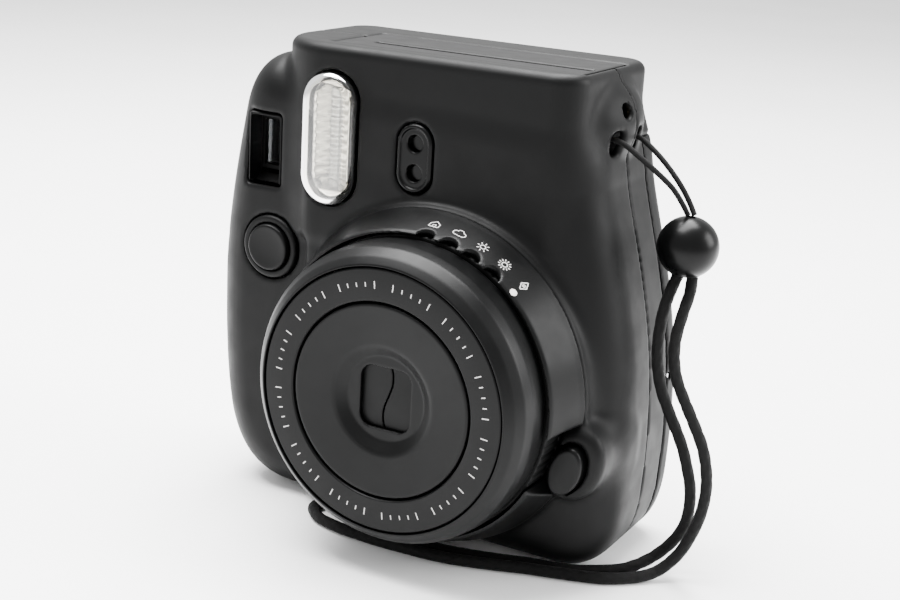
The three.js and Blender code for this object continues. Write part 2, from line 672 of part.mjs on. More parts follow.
put('film_chamber', chassis(), LOOK.trim());
put('light_cone', lightCone(), LOOK.rubber());
put('film_pack', filmPack(), LOOK.trim());
put('front_roller', roller(SLOT.y - 3.5), LOOK.rubber());
put('rear_roller', roller(SLOT.y + 3.5), LOOK.steel());
put('front_roller_gear', gear(DRIVE.x0, DRIVE.x1, SLOT.y - 3.5, ROLLER.z, 3.3, 10, 1.3), LOOK.white());
put('rear_roller_gear', gear(DRIVE.x0, DRIVE.x1, SLOT.y + 3.5, ROLLER.z, 3.3, 10, 1.3), LOOK.white());
put('drive_gear', gear(DRIVE.x0, DRIVE.x1, DRIVE.y, DRIVE.z, DRIVE.r, 16, 1.4), LOOK.white());
put('motor', rodZ(-29, 19, 5.6, 14, 38, 20).add(rodZ(-29, 19, 0.9, 36, 43, 12)), LOOK.steel());
put('main_board', box(-36, -22.6, 9, 10.4, 12, 70), LOOK.board());
put('flash_capacitor', rodZ(-28.6, 28, 5.8, 62, 94, 20), LOOK.gloss());
put('film_claw', box(FILM.x + 32.2, FILM.x + 33.2, 15, 19, 82, 92), LOOK.steel());

// --- Wrist strap ---

function bead() {
  const outline = [[THREAD_R + 0.5, -7.1]];
  for (let i = 1; i <= 11; i++) {
    const angle = (i / 12) * Math.PI;
    outline.push([BEAD.r * Math.sin(angle), -BEAD.r * Math.cos(angle)]);
  }
  const points = outline.filter(([, y]) => y < 6.6).map(([r, y]) => new THREE.Vector2(r, -y));
  points.push(new THREE.Vector2(3.4, -6.5), new THREE.Vector2(3.4, -4), new THREE.Vector2(THREAD_R + 0.5, -4));
  points.push(points[0].clone());
  const geometry = new THREE.LatheGeometry(points, 24);
  geometry.rotateX(Math.PI / 2);
  geometry.translate(BEAD.x, BEAD.y, BEAD.z);
  return solid(geometry);
}

// The thin thread: out of the bead, in through one hole, behind the strap bar, and back out of the other.
const THREAD_ROUTE = [
  [62.6, 22.1, 87],
  [61.4, 21, 89.6],
  [59.2, 19.4, 93.2],
  [55, 17, 97.4],
  [51.2, 15.9, 100.3],
  [48, 15.5, 102.3],
  [45.2, 15.8, 102.9],
  [43.5, 17.6, 103],
  [43, 20.5, 103],
  [43.5, 23.4, 103],
  [45.2, 25.2, 102.9],
  [48, 25.5, 102.3],
  [51.4, 25.1, 100.3],
  [55.2, 24.5, 97.4],
  [59.4, 24, 93.2],
  [62.1, 23.7, 89.6],
  [63.8, 23.1, 87],
];

// The braided loop: down one strand, round under the lens and back up the other.
const LOOP_ROUTE = [
  [65.1, 22.4, 72.6],
  [65.5, 20.6, 69.4],
  [65.2, 18.2, 65],
  [64.7, 16.5, 59],
  [65.0, 16.2, 54],
  [66.2, 16, 49.6],
  [68.4, 16, 45.2],
  [70.2, 16, 42],
  [72.2, 16, 38.4],
  [74, 16, 34.8],
  [75.4, 16, 30],
  [76, 16, 24.6],
  [75.4, 16, 18.6],
  [73.6, 16.2, 12.6],
  [70.8, 15.6, 6.6],
  [67.2, 13, 2.6],
  [63.4, 9, 1.5],
  [57, 4, 1.45],
  [48, 0.6, 1.45],
  [40, -1.9, 1.45],
  [31, -5.3, 1.45],
  [21, -8.3, 1.45],
  [11, -9.4, 1.45],
  [0, -9.6, 1.45],
  [-9, -8.8, 1.45],
  [-16, -6.6, 1.45],
  [-20.2, -2.2, 1.45],
  [-19.2, 1.4, 1.45],
  [-15, 2.5, 1.45],
  [-9.4, 1.2, 1.45],
  [-4, -1.8, 1.45],
  [2.4, -4.5, 1.45],
  [11, -5.4, 1.45],
  [21, -4.4, 1.45],
  [31, -1.8, 1.45],
  [40, 1.2, 1.45],
  [47.4, 2.8, 1.45],
  [53.4, 6.2, 1.5],
  [59.4, 11.6, 1.6],
  [64, 17, 3.6],
  [68, 19, 8],
  [70.6, 19, 13],
  [71.6, 18.4, 18.4],
  [71.4, 18, 23.6],
  [70.2, 18, 28],
  [68.6, 18, 32.6],
  [66.4, 18, 37],
  [64, 18, 41.4],
  [61.9, 18, 45.8],
  [60.6, 18, 50.4],
  [60, 18, 55],
  [59.9, 18.4, 60],
  [60.1, 19.6, 65],
  [60.8, 21.2, 69.4],
  [61.5, 22.6, 72.6],
];

put('strap_thread', cord(THREAD_ROUTE, THREAD_R, 36, 3), LOOK.cord());
put('strap_bead', bead(), LOOK.gloss());
put('strap_loop', cord(LOOP_ROUTE, STRAND_R, 78, 4), LOOK.cord());
put('case_screw', rodX(42.6, 45, 18.6, 109.2, 1.5, 12), LOOK.brass());

export default camera;
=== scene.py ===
"""Looks of an instant film camera with a beaded wrist strap.

Shapes are worked out in millimetres with y = 0 on the flat front of the body, and are moved into the row
frame, in metres, when their meshes are made.
"""

import math

import bpy
import numpy as np
import openvdb
from mathutils import Matrix, Vector


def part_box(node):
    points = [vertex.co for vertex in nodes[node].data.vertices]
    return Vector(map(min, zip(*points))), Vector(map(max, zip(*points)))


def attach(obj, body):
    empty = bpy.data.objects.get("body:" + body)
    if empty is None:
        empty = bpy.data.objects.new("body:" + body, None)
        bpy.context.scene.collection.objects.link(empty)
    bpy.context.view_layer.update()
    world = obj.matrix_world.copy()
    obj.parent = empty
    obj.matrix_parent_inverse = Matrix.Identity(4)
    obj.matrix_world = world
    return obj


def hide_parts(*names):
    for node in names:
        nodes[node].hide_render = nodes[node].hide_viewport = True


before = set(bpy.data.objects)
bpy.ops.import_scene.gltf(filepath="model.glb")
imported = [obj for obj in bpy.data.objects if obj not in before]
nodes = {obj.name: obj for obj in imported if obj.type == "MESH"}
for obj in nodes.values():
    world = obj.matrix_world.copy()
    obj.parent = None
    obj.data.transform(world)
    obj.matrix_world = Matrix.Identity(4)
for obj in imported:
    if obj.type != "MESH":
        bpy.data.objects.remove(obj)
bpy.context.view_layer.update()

MM = 0.001
DEPTH_CENTRE = 8.7


def node_box(node):
    """(low, high) of a CAD node in millimetres, with y = 0 on the front of the body."""
    shift = np.array([0, DEPTH_CENTRE, 0])
    return [np.array(corner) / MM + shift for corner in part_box(node)]


def middle(node):
    low, high = node_box(node)
    return (low + high) / 2


def row(point):
    """A point in millimetres, as a point of the row frame in metres."""
    return Vector((point[0] * MM, (point[1] - DEPTH_CENTRE) * MM, point[2] * MM))


# --- Camera ---


def make_camera(eye, azimuth, elevation, roll, lens):
    a, e, r = (math.radians(angle) for angle in (azimuth, elevation, roll))
    back = Vector((math.sin(a) * math.cos(e), -math.cos(a) * math.cos(e), math.sin(e)))
    right = Vector((math.cos(a), math.sin(a), 0))
    up = back.cross(right)
    right, up = right * math.cos(r) + up * math.sin(r), up * math.cos(r) - right * math.sin(r)
    data = bpy.data.cameras.new("view")
    data.lens = lens
    data.sensor_width = 36
    data.clip_start = 0.01
    camera = bpy.data.objects.new("view", data)
    bpy.context.scene.collection.objects.link(camera)
    camera.matrix_world = Matrix.Translation(row(eye)) @ Matrix((right, up, back)).transposed().to_4x4()
    bpy.context.scene.camera = camera


make_camera(eye=(181.2, -312.3, 166.9), azimuth=28.13, elevation=16.43, roll=3.43, lens=62.94)

# --- Materials ---


class Shader:
    """A small wrapper that builds one Principled material."""

    def __init__(self, name):
        self.material = bpy.data.materials.new(name)
        self.material.use_nodes = True
        self.tree = self.material.node_tree
        self.surface = self.tree.nodes["Principled BSDF"]
        self.coords = self.tree.nodes.new("ShaderNodeTexCoord").outputs["Object"]

    def set(self, **values):
        for key, value in values.items():
            self.surface.inputs[key.replace("_", " ")].default_value = value
        return self

    def noise(self, scale, detail=3, kind="ShaderNodeTexNoise"):
        node = self.tree.nodes.new(kind)
        node.inputs["Scale"].default_value = scale
        if "Detail" in node.inputs:
            node.inputs["Detail"].default_value = detail
        self.tree.links.new(self.coords, node.inputs["Vector"])
        return node.outputs[0]

    def spread(self, source, low, high, start=0.3, end=0.7):
        node = self.tree.nodes.new("ShaderNodeMapRange")
        for key, value in (("From Min", start), ("From Max", end), ("To Min", low), ("To Max", high)):
            node.inputs[key].default_value = value
        self.tree.links.new(source, node.inputs["Value"])
        return node.outputs["Result"]

    def mix(self, factor, first, second):
        node = self.tree.nodes.new("ShaderNodeMix")
        node.data_type = "RGBA"
        self.tree.links.new(factor, node.inputs["Factor"])
        for key, value in ((6, first), (7, second)):
            if isinstance(value, tuple):
                node.inputs[key].default_value = value
            else:
                self.tree.links.new(value, node.inputs[key])
        return node.outputs[2]

    def link(self, source, key):
        self.tree.links.new(source, self.surface.inputs[key])

    def bump(self, source, strength, distance):
        node = self.tree.nodes.new("ShaderNodeBump")
        node.inputs["Strength"].default_value = strength
        node.inputs["Distance"].default_value = distance
        self.tree.links.new(source, node.inputs["Height"])
        previous = self.surface.inputs["Normal"].links
        if previous:
            self.tree.links.new(previous[0].from_socket, node.inputs["Normal"])
        self.tree.links.new(node.outputs["Normal"], self.surface.inputs["Normal"])


def rgba(grey, warm=0.0):
    return (grey * (1 + warm), grey, grey * (1 - warm), 1)


def plastic(name, grey, rough, grain=0.25, warm=-0.04, painted_edge_highlight=1.35):
    """Moulded plastic: fine grain, faint blotches, convex edges painted lighter as a painted highlight, and
    uneven sheen.
    """
    shader = Shader(name)
    blotch = shader.spread(shader.noise(45), 0, 1)
    base = shader.mix(blotch, rgba(grey * 0.86, warm), rgba(grey * 1.12, warm))
    point = shader.tree.nodes.new("ShaderNodeNewGeometry").outputs["Pointiness"]
    # convex edges are painted lighter here: a painted highlight along every edge
    edge = shader.spread(point, 0, 0.75, 0.52, 0.62)
    shader.link(shader.mix(edge, base, rgba(grey * painted_edge_highlight, warm)), "Base Color")
    shader.link(shader.spread(shader.noise(160, 6), rough * 0.9, rough * 1.12), "Roughness")
    shader.bump(shader.noise(2600, 2), grain, 0.00003)
    shader.bump(shader.noise(30), 0.05, 0.0004)
    shader.set(Specular_IOR_Level=0.1)
    return shader.material


def metal(name, colour, rough, brushed=True):
    shader = Shader(name).set(Metallic=1.0)
    tone = shader.spread(shader.noise(220, 5), 0, 1)
    dark = tuple(channel * 0.8 for channel in colour) + (1,)
    shader.link(shader.mix(tone, dark, tuple(colour) + (1,)), "Base Color")
    shader.link(shader.spread(shader.noise(500, 4), rough * 0.7, rough * 1.4), "Roughness")
    shader.bump(shader.noise(1800 if brushed else 700, 2), 0.12, 0.00002)
    return shader.material


def clear(name, colour, rough, tint=0.06):
    """Clear plastic or glass with slight waviness and a little haze."""
    shader = Shader(name).set(Transmission_Weight=1.0, IOR=1.49)
    haze = shader.spread(shader.noise(90), 0, 1)
    darker = tuple(channel * (1 - tint) for channel in colour) + (1,)
    shader.link(shader.mix(haze, darker, tuple(colour) + (1,)), "Base Color")
    shader.link(shader.spread(shader.noise(260, 4), rough * 0.5, rough * 1.6), "Roughness")
    shader.bump(shader.noise(150), 0.05, 0.0002)
    return shader.material


def woven(name, grey):
    """Braided cord: strands of fine thread, painted lighter and darker one by one as painted glints where
    they catch the light.
    """
    shader = Shader(name).set(Roughness=0.7, Sheen_Weight=0.02, Sheen_Roughness=0.5, Specular_IOR_Level=0.12)
    fibre = shader.noise(5200, 2)
    # painted glints: the fibre noise makes single strands lighter or darker in the base colour
    shader.link(shader.mix(shader.spread(fibre, 0, 1), rgba(grey * 0.5), rgba(grey * 1.8)), "Base Color")
    shader.bump(fibre, 0.6, 0.0002)
    return shader.material


def printed(name, grey, warm=0.0):
    shader = Shader(name)
    worn = shader.spread(shader.noise(900, 4), 0, 1, 0.35, 0.5)
    shader.link(shader.mix(worn, rgba(grey * 0.82, warm), rgba(grey, warm)), "Base Color")
    shader.link(shader.spread(shader.noise(700), 0.5, 0.7), "Roughness")
    shader.bump(shader.noise(3000, 2), 0.1, 0.00002)
    return shader.material


SHELL = plastic("shell_plastic", 0.0011, 0.5, grain=0.2)
TRIM = plastic("trim_plastic", 0.001, 0.45, grain=0.16)
SATIN = plastic("barrel_plastic", 0.0013, 0.4, grain=0.1)
DULL = plastic("inner_plastic", 0.0008, 0.6)
GLOSS = plastic("gloss_plastic", 0.001, 0.3, grain=0.03)
WHITE = plastic("white_plastic", 0.62, 0.4, grain=0.1, warm=0.02, painted_edge_highlight=1.1)
RUBBER = plastic("rubber", 0.014, 0.72, grain=0.5)
BOARD = plastic("circuit_board", 0.05, 0.45)
STEEL = metal("steel", (0.62, 0.62, 0.63), 0.28)
DARK_METAL = metal("dark_metal", (0.16, 0.16, 0.17), 0.4)
BRASS = metal("brass", (0.72, 0.55, 0.28), 0.3)
MIRROR = metal("reflector", (0.92, 0.92, 0.9), 0.16, brushed=False)
CLEAR = clear("flash_clear", (1.0, 0.97, 0.9), 0.08)
GLASS = clear("lens_glass", (0.94, 0.97, 1.0), 0.02)
SMOKE = plastic("smoked_window", 0.0015, 0.22, grain=0.02)
CORD = woven("cord", 0.0012)
INK = printed("ink", 0.42, 0.02)
DOT = printed("dot", 0.62, 0.05)

# --- Distance fields: every moulded shell is one, negative inside, in millimetres ---


def smooth_min(a, b, k):
    h = np.clip(0.5 + 0.5 * (b - a) / k, 0, 1)
    return b * (1 - h) + a * h - k * h * (1 - h)


def smooth_max(a, b, k=0.6):
    return -smooth_min(-a, -b, k)


def carve(field, *cutters, k=0.6):
    for cutter in cutters:
        field = smooth_max(field, -cutter, k)
    return field


class Grid:
    """Sample points over a box, as three arrays that broadcast together."""

    def __init__(self, low, high, step):
        self.low, self.step = np.array(low, float), step
        counts = [int(math.ceil((b - a) / step)) + 1 for a, b in zip(low, high)]
        axes = [low[i] + step * np.arange(counts[i], dtype=np.float32) for i in range(3)]
        self.x, self.y, self.z = np.meshgrid(*axes, indexing="ij", sparse=True)
        self.shape = counts

    @classmethod
    def around(cls, node, step, margin=1.5):
        low, high = node_box(node)
        return cls(low - margin, high + margin, step)

    def polygon(self, points, u, v):
        """Signed distance to a closed outline in the plane of two of this grid's arrays."""
        points = np.array(points, np.float32)
        best = np.full(np.broadcast(u, v).shape, 1e9, np.float32)
        inside = np.zeros(best.shape, bool)
        for (ax, ay), (bx, by) in zip(points, np.roll(points, -1, axis=0)):
            ex, ey = bx - ax, by - ay
            wx, wy = u - ax, v - ay
            along = np.clip((wx * ex + wy * ey) / max(ex * ex + ey * ey, 1e-9), 0, 1)
            best = np.minimum(best, (wx - ex * along) ** 2 + (wy - ey * along) ** 2)
            if ey != 0:
                crossed = ((ay > v) != (by > v)) & (u < ex * (v - ay) / ey + ax)
                inside = inside ^ crossed
        return np.where(inside, -1, 1) * np.sqrt(best)

    def outline(self, points):
        return self.polygon(points, self.x, self.z)

    def turned(self, profile, centre):
        """A turned piece about an axis along Y, from its (radius, y) outline."""
        radius = np.hypot(self.x - centre[0], self.z - centre[2])
        return self.polygon(profile, radius, self.y)

    def box(self, low, high, r=0.0):
        axes = zip((self.x, self.y, self.z), low, high)
        d = [np.abs(g - (a + b) / 2) - (b - a) / 2 + r for g, a, b in axes]
        out = np.sqrt(sum(np.maximum(v, 0) ** 2 for v in d))
        return out + np.minimum(np.maximum(np.maximum(d[0], d[1]), d[2]), 0) - r

    def rod(self, x, z, r):
        return np.hypot(self.x - x, self.z - z) - r

    def rod_x(self, y, z, r):
        return np.hypot(self.y - y, self.z - z) - r

    def pill(self, centre, w, h):
        """A vertical slot with round ends, seen from the front."""
        reach = (h - w) / 2
        dz = np.maximum(np.abs(self.z - centre[2]) - reach, 0)
        return np.hypot(self.x - centre[0], dz) - w / 2

    def oval(self, centre, wide, tall, turn):
        c, s = math.cos(turn), math.sin(turn)
        u = (self.x - centre[0]) * c + (self.z - centre[2]) * s
        v = -(self.x - centre[0]) * s + (self.z - centre[2]) * c
        k = np.hypot(u / wide, v / tall)
        slope = np.hypot(u / wide**2, v / tall**2)
        return k * (k - 1) / np.maximum(slope, 1e-4)

    def slab(self, flat, front, back, r_front, r_back=None):
        """A flat outline made thick along Y, with its two rims rounded."""
        parts = []
        for reach, r in ((front - self.y, r_front), (self.y - back, r_back or r_front)):
            a, b = flat + r, reach + r
            parts.append(np.hypot(np.maximum(a, 0), np.maximum(b, 0)) + np.minimum(np.maximum(a, b), 0) - r)
        return np.maximum(parts[0], parts[1])


def smooth(mesh, angle=35):
    mesh.polygons.foreach_set("use_smooth", [True] * len(mesh.polygons))
    mesh.set_sharp_from_angle(angle=math.radians(angle))


def place(name, mesh, material, body, *replaced):
    mesh.materials.append(material)
    piece = bpy.data.objects.new(name, mesh)
    bpy.context.scene.collection.objects.link(piece)
    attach(piece, body)
    if replaced:
        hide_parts(*replaced)
    return piece


def mesh_from(name, points, faces):
    """A mesh of millimetre points, moved into the row frame."""
    mesh = bpy.data.meshes.new(name)
    points = (np.asarray(points, float) - [0, DEPTH_CENTRE, 0]) * MM
    mesh.from_pydata(points.tolist(), [], [list(map(int, face)) for face in faces])
    mesh.update()
    return mesh


def mould(name, field, grid, material, body, *replaced, angle=35):
    """Turns a distance field into a smooth shell."""
    band = 4 * grid.step
    values = np.clip(np.broadcast_to(field, grid.shape), -band, band).astype(np.float32)
    volume = openvdb.FloatGrid(band)
    volume.copyFromArray(np.ascontiguousarray(values))
    points, quads = volume.convertToQuads(isovalue=0.0)
    mesh = mesh_from(name, points * grid.step + grid.low, quads[:, ::-1])
    smooth(mesh, angle)
    return place(name, mesh, material, body, *replaced)


# --- Body form ---


def bezier(start, *curves, steps=14):
    """An outline of cubic curves, each given as its two handles and its end, or of straight ends."""
    points, at = [np.array(start, float)], np.array(start, float)
    for curve in curves:
        if len(curve) == 1:
            at = np.array(curve[0], float)
            points.append(at)
            continue
        a, b, end = (np.array(p, float) for p in curve)
        for t in np.linspace(0, 1, steps + 1)[1:]:
            s = 1 - t
            points.append(s**3 * at + 3 * s * s * t * a + 3 * s * t * t * b + t**3 * end)
        at = end
    return points


BODY_OUTLINE = bezier(
    (-34, 0),
    ((44, 0),),
    ((54, 0.2), (57, 8), (57.7, 17)),
    ((58.4, 30), (58, 46), (55, 61)),
    ((52.4, 74), (49, 84), (47.2, 92)),
    ((46.3, 99), (44.2, 106.8), (39.3, 110.3)),
    ((-41, 113.4),),
    ((-48, 112.4), (-51.4, 106), (-52.6, 99)),
    ((-54.6, 88), (-57.4, 74), (-58, 58)),
    ((-58, 44), (-57.8, 30), (-55.2, 18)),
    ((-52, 6), (-45, 0.2), (-34, 0)),
)
PLATEAU_LEFT = -27.5
HEIGHT, BACK, WALL, GAP = 118.3, 42.8, 2.0, 0.3
SEAM, DOOR_SEAM = 22.0, 33.0
LENS = middle("barrel_disc")
FLASH, SENSOR, FINDER = middle("flash_window"), middle("sensor_bezel"), middle("viewfinder_frame")
SHUTTER, POWER = middle("shutter_bezel"), middle("power_button")
HOOD = POWER + [1, 0, 1]
POWER_TURN = -0.33
EAR = (36, 22, 105.6)
DIAL_R = 36.3


def top_block(g):
    """The raised block along the top; its front left corner is much rounder than the others."""
    low, high = np.array([-40, 0]), np.array([43, BACK])
    centre, half = (low + high) / 2, (high - low) / 2
    r = np.where((g.x < centre[0]) & (g.y < centre[1]), 16, 7)
    dx = np.abs(g.x - centre[0]) - half[0] + r
    dy = np.abs(g.y - centre[1]) - half[1] + r
    plan = np.hypot(np.maximum(dx, 0), np.maximum(dy, 0)) + np.minimum(np.maximum(dx, dy), 0) - r
    up, rim = np.maximum(g.z - HEIGHT, 70 - g.z), 2.4
    a, b = plan + rim, up + rim
    return np.hypot(np.maximum(a, 0), np.maximum(b, 0)) + np.minimum(np.maximum(a, b), 0) - rim


def ellipsoid(g, centre, radii):
    offset = [(axis - c) / r for axis, c, r in zip((g.x, g.y, g.z), centre, radii)]
    steep = [(axis - c) / r**2 for axis, c, r in zip((g.x, g.y, g.z), centre, radii)]
    reach = np.sqrt(sum(v**2 for v in offset))
    return reach * (reach - 1) / np.maximum(np.sqrt(sum(v**2 for v in steep)), 1e-4)


def body_form(g):
    outline = g.outline(BODY_OUTLINE)
    grip = g.slab(outline, 2.6, BACK, 11.4, 6.7)
    plateau = smooth_max(g.slab(outline, 0, BACK, 11.4, 6.7), PLATEAU_LEFT - g.x, 2.5)
    form = smooth_min(smooth_min(grip, plateau, 1.0), top_block(g), 2.2)
    form = smooth_min(form, ellipsoid(g, EAR, (12.3, 16.4, 12.1)), 1.6)
    return np.maximum(form, np.maximum(np.maximum(-g.z, g.z - HEIGHT), g.y - BACK))


body = Grid((-59.5, -7, -1.5), (59.5, 44.2, 119.8), 0.55)
FORM = body_form(body)
POST = body.slab(body.rod(LENS[0], LENS[2], 41), -2.7, 10, 0.8)
HOOD_FORM = body.slab(body.oval(HOOD, 6.9, 9.4, POWER_TURN), -5.2, 16, 2.6)
OUTSIDE = smooth_min(smooth_min(FORM, POST, 2.4), HOOD_FORM, 3.4)
HOLLOW = np.minimum(FORM + WALL, body.slab(body.oval(HOOD, 5.3, 7.8, POWER_TURN), -3.2, 17, 0.5))
WHOLE = smooth_max(OUTSIDE, -HOLLOW, 0.6)
DOOR_LOW, DOOR_HIGH = node_box("back_door")
DOOR_SPACE = (np.array([DOOR_LOW[0], DOOR_SEAM, -9]), np.array([80, 60, DOOR_HIGH[2]]))
LID_SPACE = (np.array([-80, 8, 10]), np.array([-52, 36, 66]))
PLATE_LOW, PLATE_HIGH = node_box("film_slot_plate")
PLATE_SPACE = (np.array([PLATE_LOW[0], PLATE_LOW[1], 113.6]), np.array([PLATE_HIGH[0], PLATE_HIGH[1], 130]))


def space(g, bounds, gap=0.0, r=0.6):
    return g.box(bounds[0] - gap, bounds[1] + gap, r)


STRAP_HOLES = [
    body.box((42, 13.4, 99.2), (60, 17.6, 105), 1.6),
    body.box((42, 23.4, 99.4), (60, 27.6, 105.2), 1.6),
    np.maximum(body.rod_x(18.6, 109.2, 1.8), 42 - body.x),
]


def front_cover():
    g = body
    mouth = g.box((FINDER[0] - 5.3, -9, FINDER[2] - 9.2), (FINDER[0] + 5.3, 9, FINDER[2] + 9.3), 1.2)
    return carve(
        np.maximum(WHOLE, g.y - (SEAM - GAP / 2)),
        np.maximum(g.rod(LENS[0], LENS[2], DIAL_R + 0.6), g.y - 12),
        np.maximum(g.pill(FLASH, 15.2, 32.6), g.y - 6),
        np.maximum(g.pill(SENSOR, 10.0, 17.0), g.y - 6),
        np.maximum(g.rod(SHUTTER[0], SHUTTER[2], 8.3), g.y - 8),
        np.maximum(g.oval(POWER, 4.4, 6.7, POWER_TURN), g.y - 8),
        mouth,
        space(g, PLATE_SPACE, GAP),
        space(g, LID_SPACE, GAP),
        *STRAP_HOLES,
        k=0.9,
    )


def rear_shell():
    g = body
    eye = middle("viewfinder_eyepiece")
    return carve(
        np.maximum(WHOLE, (SEAM + GAP / 2) - g.y),
        space(g, DOOR_SPACE, GAP),
        space(g, LID_SPACE, GAP),
        space(g, PLATE_SPACE, GAP),
        g.box((eye[0] - 5.6, 36, eye[2] - 7.3), (eye[0] + 5.6, 60, eye[2] + 7.3), 2),
        *STRAP_HOLES,
        k=0.7,
    )


def back_door():
    g = body
    window, dial = middle("film_window"), middle("counter_window")
    pin = middle("hinge_pin")
    pin_reach = node_box("hinge_pin")[1][2] - pin[2] + GAP
    groove = np.hypot(g.x - pin[0], g.y - pin[1]) - 1.2
    return carve(
        smooth_max(WHOLE, space(g, DOOR_SPACE), 0.5),
        g.box((window[0] - 7.3, 36, window[2] - 13), (window[0] + 7.3, 60, window[2] + 13), 3),
        np.maximum(g.rod(dial[0], dial[2], 4.8), 36 - g.y),
        g.box((DOOR_LOW[0] - 2, 38, 50.7), (DOOR_LOW[0] + 9.3, 60, 65.3), 0.8),
        g.box((52, DOOR_SEAM - 2, -9), (80, DOOR_SEAM + 0.6, 140)),
        np.maximum(groove, np.abs(g.z - pin[2]) - pin_reach),
        k=0.6,
    )


mould("front_shell", front_cover(), body, SHELL, "camera_body", "front_cover")
mould("rear_shell_form", rear_shell(), body, SHELL, "camera_body", "rear_shell")
mould("door_panel", back_door(), body, SHELL, "door", "back_door")
battery_lid = smooth_max(WHOLE, space(body, LID_SPACE), 0.5)
mould("battery_lid_panel", battery_lid, body, SHELL, "battery_lid", "battery_door")

# --- Film slot plate ---


def slot_plate():
    g = Grid.around("film_slot_plate", 0.35)
    plate = g.box((PLATE_LOW[0], PLATE_LOW[1], 116.2), PLATE_HIGH, 0.35)
    skirt = g.box((PLATE_LOW[0] + 6.6, 10.8, PLATE_LOW[2]), (PLATE_HIGH[0] - 0.4, 18, 117))
    slot = g.box((PLATE_LOW[0] + 7.5, 13.2, 100), (PLATE_HIGH[0] - 1.3, 15.6, 130), 0.5)
    whole = carve(np.minimum(plate, skirt), slot, k=0.9)
    mould("slot_plate", whole, g, TRIM, "camera_body", "film_slot_plate")


slot_plate()

# --- Lens group ---

WINDOW_ANGLES = [85.5, 76, 66.5, 57]
SIGN_ANGLES = WINDOW_ANGLES + [47.5]


def around_lens(radius, degrees, y):
    angle = math.radians(degrees)
    return np.array([LENS[0] + radius * math.cos(angle), y, LENS[2] + radius * math.sin(angle)])


def scale_ring():
    g = Grid.around("scale_ring", 0.35)
    outline = [(36.9, -3.1), (40.8, -3.1), (40.2, -4.6), (37.4, -12.8), (36.95, -13.4), (36.9, -13.4)]
    ring = g.turned(outline, LENS) - 0.2
    cutters = [g.oval(HOOD, 7.3, 9.8, POWER_TURN)]
    for degrees in WINDOW_ANGLES:
        spot = around_lens(38, degrees, -13.2)
        radial = np.array([math.cos(math.radians(degrees)), math.sin(math.radians(degrees))])
        across = (g.z - spot[2]) * radial[0] - (g.x - spot[0]) * radial[1]
        outward = (g.x - spot[0]) * radial[0] + (g.z - spot[2]) * radial[1]
        cutters.append(np.maximum(np.hypot(across, g.y - spot[1]) - 2.1, -outward - 5))
    mould("cone_ring", carve(ring, *cutters, k=0.4), g, SATIN, "camera_body", "scale_ring")


def fillet(outline, r, steps=5):
    """Rounds every corner of a closed outline."""
    points, outline = [], [np.array(p, float) for p in outline]
    for before, at, after in zip(np.roll(outline, 1, axis=0), outline, np.roll(outline, -1, axis=0)):
        a, b = before - at, after - at
        cut = min(r, np.linalg.norm(a) * 0.45, np.linalg.norm(b) * 0.45)
        a, b = at + a / np.linalg.norm(a) * cut, at + b / np.linalg.norm(b) * cut
        for t in np.linspace(0, 1, steps):
            points.append((1 - t) ** 2 * a + 2 * t * (1 - t) * at + t * t * b)
    return points


def lathe(name, outline, centre, material, body_name, *replaced, turns=192, axis="y", ribs=None, angle=35):
    """Turns an outline of (radius, along) points about an axis through centre."""
    rings = np.array(outline)
    angles = np.arange(turns) / turns * 2 * math.pi
    radius = np.repeat(rings[None, :, 0], turns, axis=0)
    if ribs:
        radius = radius + ribs(angles[:, None], rings[None, :, 0], rings[None, :, 1])
    u, v = radius * np.cos(angles)[:, None], radius * np.sin(angles)[:, None]
    along = np.broadcast_to(rings[None, :, 1], u.shape)
    if axis == "y":
        points = np.stack([centre[0] + u, along, centre[2] + v], -1)
    else:
        points = np.stack([centre[0] + u, centre[1] + v, along], -1)
    n, count = rings.shape[0], turns
    faces = [
        (i * n + j, i * n + (j + 1) % n, ((i + 1) % count) * n + (j + 1) % n, ((i + 1) % count) * n + j)
        for i in range(count)
        for j in range(n)
    ]
    mesh = mesh_from(name, points.reshape(-1, 3), faces)
    smooth(mesh, angle)
    return place(name, mesh, material, body_name, *replaced)


def dial_ribs(angle, radius, along):
    """Shallow grooves on the outside of the dial, at its front end."""
    wave = np.maximum(np.sin(angle * 90), 0)
    return -0.35 * wave * (radius > 36) * (along < -4)


BARREL_OUTLINE = fillet([
    (33, 9), (34.5, 9), (34.5, -12.0), (35.6, -12.4), (35.6, -18.4), (35.1, -21.2), (33.6, -23.8),
    (31.9, -25.3), (31.45, -25.4), (31.5, -21.4), (33, -19),
], 0.5)
scale_ring()
lathe("dial_ring", fillet([(34.8, 7), (36.3, 7), (36.3, -4), (36.3, -11.2), (36, -11.6), (34.8, -11.6)], 0.2),
      LENS, DULL, "dial", "brightness_dial", turns=720, ribs=dial_ribs)
lathe("barrel_shell", BARREL_OUTLINE, LENS, SATIN, "barrel", "barrel_rim", turns=256)
lathe("face_ring", fillet([
    (23.4, -21.6), (31.05, -21.6), (31.05, -25.0), (30.75, -25.25), (23.7, -25.25), (23.4, -24.9),
], 0.12), LENS, SATIN, "barrel", "barrel_face_ring", turns=256)


def barrel_disc():
    g = Grid.around("barrel_disc", 0.3)
    outline = [
        (-1, -21.45), (22.9, -21.45), (22.9, -24.8), (22.5, -25.1),
        (13.4, -24.15), (12.6, -23.9), (10.2, -22.3), (-1, -22.3),
    ]
    opening = g.box((LENS[0] - 6.6, -40, LENS[2] - 7.4), (LENS[0] + 6.6, 0, LENS[2] + 7.4), 3)
    mould("inner_disc", carve(g.turned(outline, LENS), opening, k=0.3), g, SATIN, "barrel", "barrel_disc")


